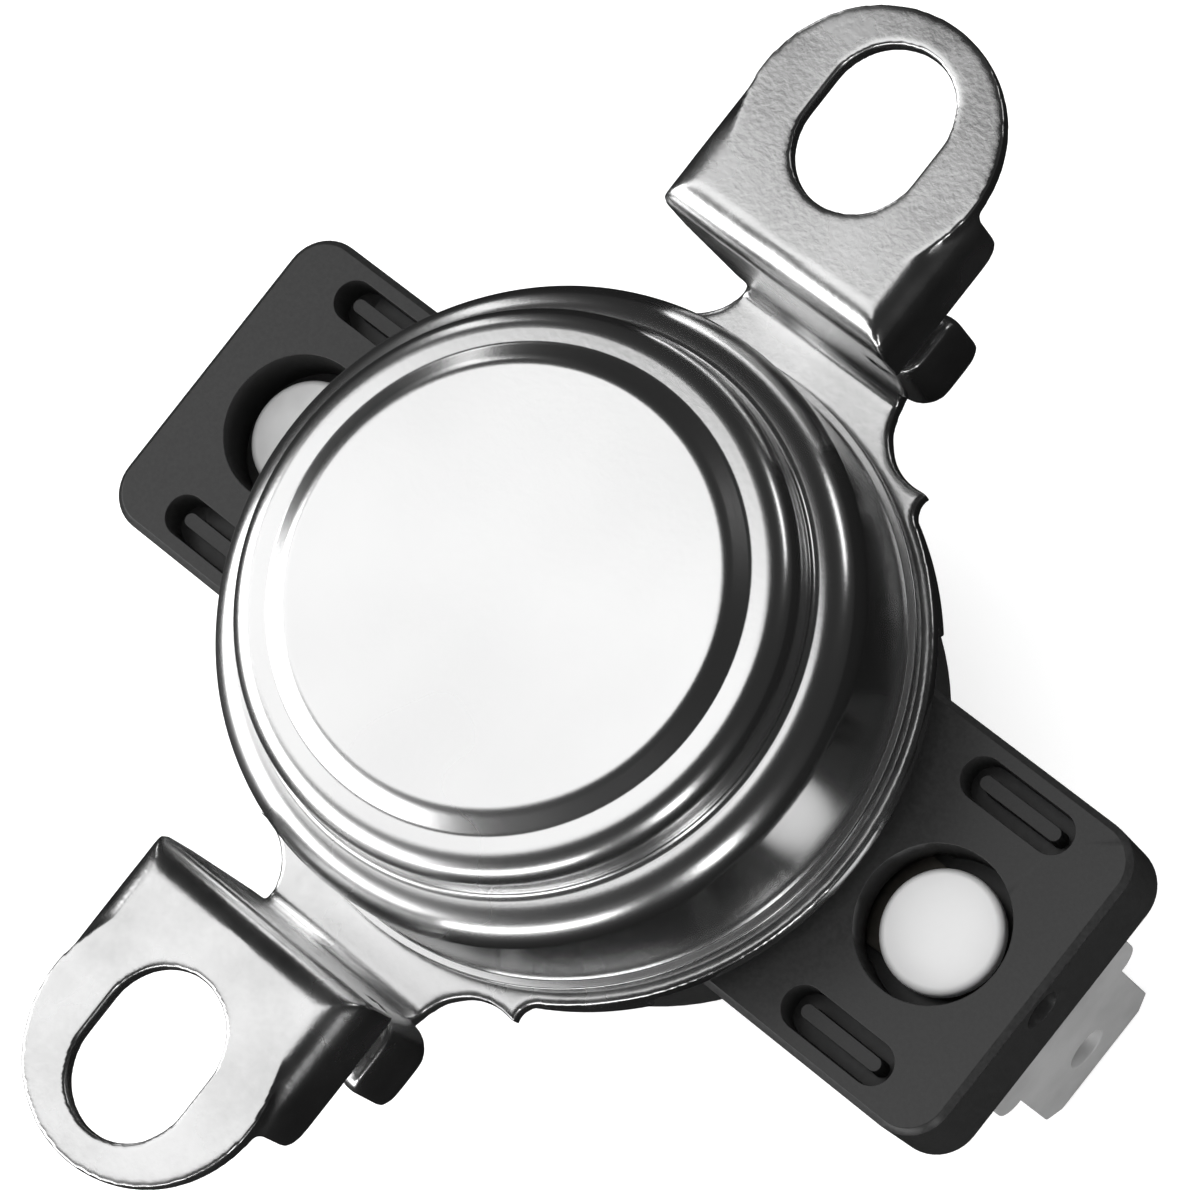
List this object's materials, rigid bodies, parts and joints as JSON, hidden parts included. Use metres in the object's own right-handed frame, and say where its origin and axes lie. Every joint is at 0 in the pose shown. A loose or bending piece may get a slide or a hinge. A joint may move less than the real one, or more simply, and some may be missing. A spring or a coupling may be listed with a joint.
{
  "type": "bimetal thermostat",
  "caption": "Snap-disc bimetal temperature switch: a stepped steel sensing cup on a black moulded head with a two-eared mounting bracket and push-on blade terminals.",
  "frame": {"origin": "on the cup's axis, midway between the two ear slots, in the plane of the ears' upper faces", "axes": "+Z is the way the sensing face looks, +Y runs from ear to ear, X along the moulded head from terminal to terminal"},
  "size_m": [0.0438, 0.0528, 0.0271],
  "materials": {
    "cup_steel": "bright drawn and plated steel, slightly mottled",
    "bracket_steel": "bright zinc plated strip with soft rolling marks",
    "moulding": "black glass-filled moulding, satin",
    "tinned_brass": "tin plated brass strip",
    "rivet_metal": "bright nickel plated rivet",
    "washer_steel": "plain zinc plated washer",
    "strap_brass": "half-hard brass strap",
    "contact_silver": "silver contact button",
    "spring_copper": "spring-hard copper alloy",
    "phenolic": "brown moulded plate",
    "ceramic": "white fired ceramic",
    "bimetal": "rolled bimetal strip"
  },
  "bodies": {
    "root": {"sensor_cup": "cup_steel", "mounting_bracket": "bracket_steel", "switch_head": "moulding", "terminal_a": "tinned_brass", "terminal_b": "tinned_brass", "terminal_rivet_a": "rivet_metal", "terminal_rivet_b": "rivet_metal", "rivet_washer_a": "washer_steel", "rivet_washer_b": "washer_steel", "arm_carrier": "strap_brass", "fixed_contact_strap": "strap_brass", "fixed_contact": "contact_silver", "guide_plate": "phenolic", "disc_spacer": "phenolic", "bimetal_disc": "bimetal"},
    "pin": {"transfer_pin": "ceramic"},
    "arm": {"switch_arm": "spring_copper", "moving_contact": "contact_silver"}
  },
  "joints": [
    {"name": "pin_travel", "type": "slide", "parent": "root", "child": "pin", "axis": [0, 0, -1], "range_m": [0, 0.0005], "deforming": ["bimetal_disc"]},
    {"name": "arm_flex", "type": "hinge", "parent": "root", "child": "arm", "pos_m": [0.0096, 0, -0.014], "axis": [0, -1, 0], "range_deg": [0, 3.44], "stiffness_Nm_per_rad": 0.1}
  ],
  "couplings": [
    {"joint": "arm_flex", "follows": "pin_travel", "rad_per_m": 120}
  ]
}
